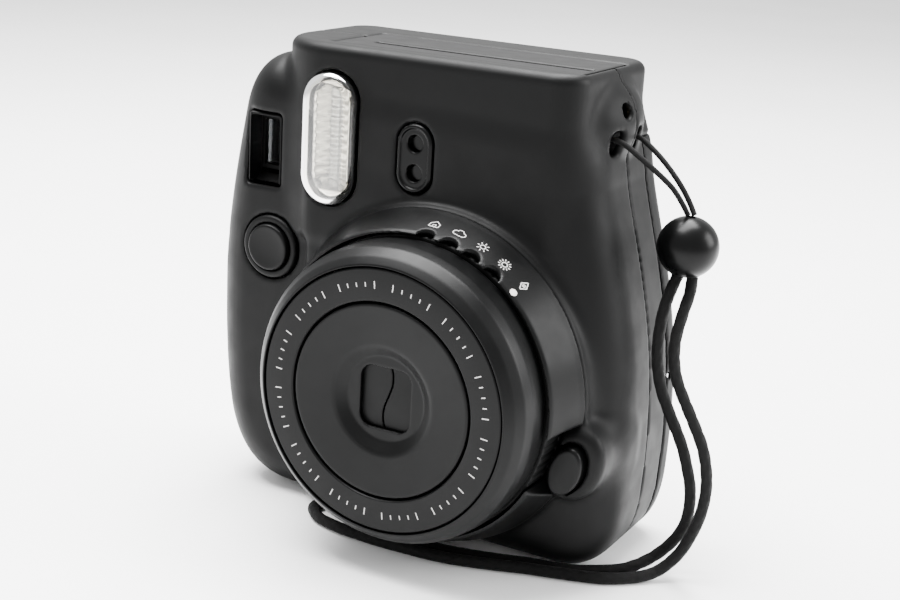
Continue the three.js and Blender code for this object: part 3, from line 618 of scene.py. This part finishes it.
def cover_leaf(side, node, body_name):
    g = Grid.around(node, 0.2, 1)
    low, high = node_box(node)
    t = np.clip((g.z - LENS[2]) / 9, -1, 1)
    edge = LENS[0] + side * 0.2 + 2.1 * np.sin(t * math.pi) * 0.55
    sheet = g.box((low[0] - 2, low[1], low[2]), (high[0] + 2, high[1], high[2]), 0.1)
    outer = np.abs(g.x - LENS[0]) - 9
    field = np.maximum(np.maximum(sheet, outer), -side * (g.x - edge) * 0.8)
    mould(node + "_blade", field, g, TRIM, body_name, node)


barrel_disc()
cover_leaf(-1, "lens_cover_leaf_left", "leaf_left")
cover_leaf(1, "lens_cover_leaf_right", "leaf_right")

# --- Flash, sensor and viewfinder ---


def flash():
    g = Grid.around("flash_window", 0.3)
    outer = g.slab(g.pill(FLASH, 14.6, 32), -3.2, 3, 2.2, 0.3)
    inner = g.slab(g.pill(FLASH, 12.2, 29.6), -1.9, 9, 1.4)
    mould("flash_lens", np.maximum(outer, -inner), g, CLEAR, "camera_body", "flash_window")
    g = Grid.around("flash_reflector", 0.25)
    pan = g.slab(g.pill(FLASH, 11.2, 28.6), -0.9, 7, 0.3)
    wave = 0.12 * np.cos(g.z * 2 * math.pi / 2.4)
    bowl = np.maximum(
        np.hypot((g.x - FLASH[0]) / 5.0, (g.y + 0.9) / 6.6) * 5.0 - 5.0 + wave,
        np.abs(g.z - FLASH[2]) - 12.6 + 0.5 * (g.y + 0.9) / 6.6 * 3,
    )
    mould("flash_bowl", smooth_max(pan, -bowl, 0.2), g, MIRROR, "camera_body", "flash_reflector")


def sensor():
    g = Grid.around("sensor_bezel", 0.2)
    block = g.slab(g.pill(SENSOR, 9.4, 16.4), -0.8, 3.4, 0.8, 0.2)
    dish = np.maximum(g.pill(SENSOR, 7.2, 14.2), g.y + 0.3)
    holes = [np.maximum(g.rod(SENSOR[0], SENSOR[2] + at, 2), g.y - 2.6) for at in (3.5, -3.5)]
    mould("sensor_block", carve(block, dish, *holes, k=0.4), g, GLOSS, "camera_body", "sensor_bezel")


def finder():
    g = Grid.around("viewfinder_frame", 0.25)
    low, high = node_box("viewfinder_frame")
    top, x = 90.6, FINDER[0]
    outer = g.box(low, high, 0.9)
    mouth = g.box((x - 4.3, -5, top - 7.6), (x + 4.3, 20, top + 7.6), 0.6)
    sloping_lip = (g.y - 8.6) * 0.55 + (top - 7.6 - g.z) * 0.83
    scoop = np.maximum(np.abs(g.x - x) - 4.3, np.maximum(g.z - top, sloping_lip))
    mould("finder_frame", carve(outer, mouth, scoop, k=0.3), g, TRIM, "camera_body", "viewfinder_frame")
    g = Grid.around("viewfinder_eyepiece", 0.3)
    low, high = node_box("viewfinder_eyepiece")
    eye = middle("viewfinder_eyepiece")
    rim = g.box(low, high, 1.2)
    hole = g.box((eye[0] - 3.6, 30, eye[2] - 5), (eye[0] + 3.6, 60, eye[2] + 5), 1)
    mould("eyepiece_rim", carve(rim, hole, k=0.8), g, RUBBER, "camera_body", "viewfinder_eyepiece")


flash()
sensor()
finder()

# --- Buttons ---


def buttons():
    g = Grid.around("shutter_bezel", 0.22)
    ring = g.slab(g.rod(SHUTTER[0], SHUTTER[2], 8), 1.9, 7.2, 0.9, 0.2)
    well = np.maximum(g.rod(SHUTTER[0], SHUTTER[2], 6.2), g.y - 6)
    neck = g.rod(SHUTTER[0], SHUTTER[2], 2.8)
    mould("shutter_ring", carve(ring, well, neck, k=0.5), g, SHELL, "camera_body", "shutter_bezel")
    g = Grid.around("shutter_button", 0.22)
    low, high = node_box("shutter_button")
    dish = np.hypot(np.hypot(g.x - SHUTTER[0], g.z - SHUTTER[2]), g.y - low[1] + 38.4) - 39
    cap = smooth_max(g.slab(g.rod(SHUTTER[0], SHUTTER[2], 5.9), low[1], 3.4, 1.1, 0.3), -dish, 0.3)
    stem = g.slab(g.rod(SHUTTER[0], SHUTTER[2], 2.4), 3, high[1], 0.2)
    mould("shutter_cap", np.minimum(cap, stem), g, TRIM, "shutter_key", "shutter_button")
    g = Grid.around("power_button", 0.22)
    low, high = node_box("power_button")
    cap = g.slab(g.oval(POWER, 3.9, 6.2, POWER_TURN), low[1], -3.4, 0.9, 0.3)
    stem = g.slab(g.rod(POWER[0], POWER[2], 2.4), -3.8, high[1], 0.2)
    mould("power_cap", np.minimum(cap, stem), g, SATIN, "power_key", "power_button")


buttons()

# --- Printed signs and scale ticks ---


def patch(spot, outward, up, strokes, lift=0.05):
    """Flat strokes, each a closed list of (across, up) points, laid on a surface at spot."""
    outward = np.array(outward, float) / np.linalg.norm(outward)
    up = np.array(up, float) - outward * np.dot(up, outward)
    up = up / np.linalg.norm(up)
    across = np.cross(up, outward)
    points, faces = [], []
    for stroke in strokes:
        faces.append(range(len(points), len(points) + len(stroke)))
        points += [spot + outward * lift + across * u + up * v for u, v in stroke]
    return points, faces


def bar(a, b, width):
    a, b = np.array(a, float), np.array(b, float)
    side = np.array([b[1] - a[1], a[0] - b[0]]) / np.linalg.norm(b - a) * width / 2
    return [a + side, b + side, b - side, a - side]


def arc(radius, start, end, width, centre=(0, 0), steps=18):
    angles = np.radians(np.linspace(start, end, steps + 1))
    ring = [np.array([math.cos(t), math.sin(t)]) for t in angles]
    return [[centre + ring[i] * (radius - width / 2), centre + ring[i] * (radius + width / 2),
             centre + ring[i + 1] * (radius + width / 2), centre + ring[i + 1] * (radius - width / 2)]
            for i in range(steps)]


def sun(rays, size):
    strokes = arc(size * 0.42, 0, 360, 0.24)
    for i in range(rays):
        c, s = math.cos(i / rays * 2 * math.pi), math.sin(i / rays * 2 * math.pi)
        strokes.append(bar((c * size * 0.66, s * size * 0.66), (c * size, s * size), 0.24))
    return strokes


def cloud():
    puffs = arc(0.75, 70, 250, 0.24, (-0.8, -0.1)) + arc(0.85, 20, 160, 0.24, (0, 0.35))
    return puffs + arc(0.7, -100, 100, 0.24, (0.95, -0.15)) + [bar((-0.95, -0.82), (0.85, -0.86), 0.24)]


def house():
    corners = [(-1.2, -1), (1.2, -1), (1.2, 0.2), (0, 1.2), (-1.2, 0.2)]
    walls = [bar(a, b, 0.24) for a, b in zip(corners, corners[1:] + corners[:1])]
    door = [(-0.35, -1), (-0.35, -0.1), (0.35, -0.1), (0.35, -1)]
    return walls + [bar(a, b, 0.2) for a, b in zip(door, door[1:])]


def diamond():
    corners = [(0, 1.5), (0.9, 0), (0, -1.5), (-0.9, 0)]
    return [bar(a, b, 0.26) for a, b in zip(corners, corners[1:] + corners[:1])] + arc(0.3, 0, 360, 0.3)


CONE_SLOPE = 2.9 / 8.3


def print_signs():
    points, faces = [], []

    def add(found):
        start = len(points)
        points.extend(found[0])
        faces.extend([[start + i for i in face] for face in found[1]])

    for degrees, sign in zip(SIGN_ANGLES, [house(), cloud(), sun(8, 1.5), sun(12, 1.6), diamond()]):
        radial = around_lens(1, degrees, 0) - [LENS[0], 0, LENS[2]]
        add(patch(around_lens(38.95, degrees, -8.9), radial + [0, -CONE_SLOPE, 0], [0, 1, 0], sign))
    mesh = mesh_from("scale_signs", points, faces)
    place("scale_signs", mesh, INK, "camera_body")
    radial = around_lens(1, SIGN_ANGLES[-1], 0) - [LENS[0], 0, LENS[2]]
    disc = [[(0.9 * math.cos(t), 0.9 * math.sin(t)) for t in np.linspace(0, 2 * math.pi, 25)[:-1]]]
    spot = around_lens(37.75, SIGN_ANGLES[-1], -12.4)
    mesh = mesh_from("index_dot", *patch(spot, radial + [0, -CONE_SLOPE, 0], [0, 1, 0], disc, 0.12))
    place("index_dot", mesh, DOT, "camera_body")


def print_scale():
    """Ticks in groups round the face ring, in place of lettering."""
    points, faces = [], []
    for group in range(12):
        for step in range(5):
            degrees = group * 30 + step * 5 + 5
            size = 0.85 if step in (0, 4) else 0.5
            radial = around_lens(1, degrees, 0) - [LENS[0], 0, LENS[2]]
            tick = [bar((0, -size), (0, size), 0.26)]
            found = patch(around_lens(27.3, degrees, -25.25), [0, -1, 0], radial, tick)
            start = len(points)
            points.extend(found[0])
            faces.extend([[start + i for i in face] for face in found[1]])
    place("face_scale", mesh_from("face_scale", points, faces), INK, "barrel")


print_signs()
print_scale()

# --- Wrist strap ---

THREAD_ROUTE = [
    (62.6, 22.1, 87), (61.4, 21, 89.6), (59.2, 19.4, 93.2), (55, 17, 97.4), (51.2, 15.9, 100.3),
    (48, 15.5, 102.3), (45.2, 15.8, 102.9), (43.5, 17.6, 103), (43, 20.5, 103), (43.5, 23.4, 103),
    (45.2, 25.2, 102.9), (48, 25.5, 102.3), (51.4, 25.1, 100.3), (55.2, 24.5, 97.4), (59.4, 24, 93.2),
    (62.1, 23.7, 89.6), (63.8, 23.1, 87),
]
LOOP_ROUTE = [
    (65.1, 22.4, 72.6), (65.5, 20.6, 69.4), (65.2, 18.2, 65), (64.7, 16.5, 59), (65.0, 16.2, 54),
    (66.2, 16, 49.6), (68.4, 16, 45.2), (70.2, 16, 42), (72.2, 16, 38.4), (74, 16, 34.8), (75.4, 16, 30),
    (76, 16, 24.6), (75.4, 16, 18.6), (73.6, 16.2, 12.6), (70.8, 15.6, 6.6), (67.2, 13, 2.6), (63.4, 9, 1.5),
    (57, 4, 1.45), (48, 0.6, 1.45), (40, -1.9, 1.45), (31, -5.3, 1.45), (21, -8.3, 1.45), (11, -9.4, 1.45),
    (0, -9.6, 1.45), (-9, -8.8, 1.45), (-16, -6.6, 1.45), (-20.2, -2.2, 1.45), (-19.2, 1.4, 1.45),
    (-15, 2.5, 1.45), (-9.4, 1.2, 1.45), (-4, -1.8, 1.45), (2.4, -4.5, 1.45), (11, -5.4, 1.45),
    (21, -4.4, 1.45),
    (31, -1.8, 1.45), (40, 1.2, 1.45), (47.4, 2.8, 1.45), (53.4, 6.2, 1.5), (59.4, 11.6, 1.6), (64, 17, 3.6),
    (68, 19, 8), (70.6, 19, 13), (71.6, 18.4, 18.4), (71.4, 18, 23.6), (70.2, 18, 28), (68.6, 18, 32.6),
    (66.4, 18, 37), (64, 18, 41.4), (61.9, 18, 45.8), (60.6, 18, 50.4), (60, 18, 55), (59.9, 18.4, 60),
    (60.1, 19.6, 65), (60.8, 21.2, 69.4), (61.5, 22.6, 72.6),
]
STRAND_D, THREAD_D = 2.8, 1.3


def spline(route, step):
    """Points close together on a centripetal Catmull-Rom curve through route."""
    route = [np.array(p, float) for p in route]
    route = [2 * route[0] - route[1], *route, 2 * route[-1] - route[-2]]
    points = []
    for p0, p1, p2, p3 in zip(route, route[1:], route[2:], route[3:]):
        gaps = [np.linalg.norm(b - a) ** 0.5 for a, b in ((p0, p1), (p1, p2), (p2, p3))]
        t0, t1, t2, t3 = np.cumsum([0, *gaps])
        for t in np.linspace(t1, t2, max(2, int(np.linalg.norm(p2 - p1) / step)), endpoint=False):
            a1 = (t1 - t) / (t1 - t0) * p0 + (t - t0) / (t1 - t0) * p1
            a2 = (t2 - t) / (t2 - t1) * p1 + (t - t1) / (t2 - t1) * p2
            a3 = (t3 - t) / (t3 - t2) * p2 + (t - t2) / (t3 - t2) * p3
            b1 = (t2 - t) / (t2 - t0) * a1 + (t - t0) / (t2 - t0) * a2
            b2 = (t3 - t) / (t3 - t1) * a2 + (t - t1) / (t3 - t1) * a3
            points.append((t2 - t) / (t2 - t1) * b1 + (t - t1) / (t2 - t1) * b2)
    points = np.array([*points, route[-2]])
    points[:, 2] = np.maximum(points[:, 2], min(p[2] for p in route))
    return points


def tube(name, points, radius, sides, relief=None):
    """A tube whose rings turn as little as they can, with an optional relief of its skin."""
    tangent = np.gradient(points, axis=0)
    tangent /= np.linalg.norm(tangent, axis=1)[:, None]
    normal = np.cross(tangent[0], [0.3, 1, 0.2])
    along = np.concatenate([[0], np.cumsum(np.linalg.norm(np.diff(points, axis=0), axis=1))])
    rings = []
    for point, direction, s in zip(points, tangent, along):
        normal = normal - direction * np.dot(normal, direction)
        normal /= np.linalg.norm(normal)
        side = np.cross(direction, normal)
        for i in range(sides):
            t = i / sides * 2 * math.pi
            reach = radius * (relief(t, s) if relief else 1)
            rings.append(point + reach * (normal * math.cos(t) + side * math.sin(t)))
    count = len(points)
    faces = [
        (k * sides + i, k * sides + (i + 1) % sides, (k + 1) * sides + (i + 1) % sides, (k + 1) * sides + i)
        for k in range(count - 1)
        for i in range(sides)
    ]
    faces += [list(range(sides))[::-1], list(range((count - 1) * sides, count * sides))]
    return mesh_from(name, rings, faces), float(along[-1])


def braid(t, s):
    """Two families of strands that cross, as on a round braid."""
    pitch = 7.5
    turn = s / pitch * 2 * math.pi
    over = abs(math.cos(2 * t + turn)) ** 0.7
    under = abs(math.cos(2 * t - turn + 0.8)) ** 0.7
    return 0.82 + 0.18 * max(over, under)


def strap():
    bead_low, bead_high = node_box("strap_bead")
    centre = middle("strap_bead")
    radius = (bead_high[0] - bead_low[0]) / 2
    mid = bead_high[2] - radius * 0.987
    angles = np.linspace(math.radians(81), math.radians(-65), 40)
    shell = [(radius * math.cos(a), mid + radius * math.sin(a)) for a in angles]
    outline = [*shell, (3.4, bead_low[2] + 0.05), (3.3, bead_low[2] + 2.5), (1.2, bead_low[2] + 3)]
    bead = lathe("bead", outline[::-1], centre, GLOSS, "camera_body", "strap_bead", turns=96, axis="z")
    points = spline(THREAD_ROUTE, 0.4)
    mesh, length = tube("thread", points, THREAD_D / 2, 12)
    smooth(mesh, 60)
    thread = place("thread", mesh, CORD, "camera_body", "strap_thread")
    points = spline(LOOP_ROUTE, 0.45)
    mesh, length = tube("wrist_loop", points, STRAND_D / 2, 24, braid)
    smooth(mesh, 180)
    loop = place("wrist_loop", mesh, CORD, "camera_body", "strap_loop")


strap()

# --- Finishes of the CAD nodes that are shown as they are ---

CAD_FINISH = {
    DULL: ["lens_carrier", "shutter_leaf", "viewfinder_tube", "film_chamber", "film_pack"],
    RUBBER: ["light_cone", "front_roller"],
    STEEL: ["shutter_spring", "power_spring", "hinge_pin", "battery_1", "battery_2", "battery_contact_top",
            "battery_spring_1", "battery_spring_2", "rear_roller", "motor", "film_claw"],
    DARK_METAL: ["shutter_plate"],
    BRASS: ["case_screw"],
    TRIM: ["door_latch"],
    GLOSS: ["flash_capacitor"],
    WHITE: ["front_roller_gear", "rear_roller_gear", "drive_gear", "counter_wheel"],
    BOARD: ["main_board"],
    GLASS: ["front_lens", "rear_lens", "flash_tube", "viewfinder_front_lens", "viewfinder_eye_lens",
            "counter_window"],
    SMOKE: ["sensor_window_upper", "sensor_window_lower", "film_window"],
}


def finish_cad_nodes():
    for material, names in CAD_FINISH.items():
        for name in names:
            piece = nodes[name]
            piece.data.materials.clear()
            piece.data.materials.append(material)
            rounding = piece.modifiers.new("edges", "BEVEL")
            rounding.width = 0.00012
            rounding.segments = 2
            rounding.limit_method = "ANGLE"
            rounding.angle_limit = math.radians(40)


finish_cad_nodes()

# --- Stage: a pale floor and soft light ---


def area_light(name, at, towards, size, power):
    data = bpy.data.lights.new(name, "AREA")
    data.shape = "RECTANGLE"
    data.size, data.size_y = size
    data.energy = power
    light = bpy.data.objects.new(name, data)
    bpy.context.scene.collection.objects.link(light)
    light.location = at
    light.rotation_euler = (Vector(towards) - Vector(at)).to_track_quat("-Z", "Y").to_euler()


def make_stage():
    floor = bpy.data.meshes.new("floor")
    reach = 6
    corners = [(-reach, -reach, 0), (reach, -reach, 0), (reach, reach, 0), (-reach, reach, 0)]
    floor.from_pydata(corners, [], [(0, 1, 2, 3)])
    paper = Shader("floor_paper")
    paper.link(paper.mix(paper.spread(paper.noise(6), 0, 1), rgba(0.86), rgba(0.9)), "Base Color")
    paper.set(Roughness=0.5)
    floor.materials.append(paper.material)
    ground = bpy.data.objects.new("floor", floor)
    bpy.context.scene.collection.objects.link(ground)
    world = bpy.data.worlds.new("studio")
    world.use_nodes = True
    bpy.context.scene.world = world
    tree = world.node_tree
    background = tree.nodes["Background"]
    background.inputs["Color"].default_value = (1, 1, 1, 1)
    background.inputs["Strength"].default_value = 1.5
    area_light("overhead", (-0.15, 0.1, 0.8), (0, 0, 0.05), (0.8, 0.6), 60)
    area_light("from_right", (0.75, 0.35, 0.4), (0, 0, 0.06), (0.4, 0.5), 12)


make_stage()
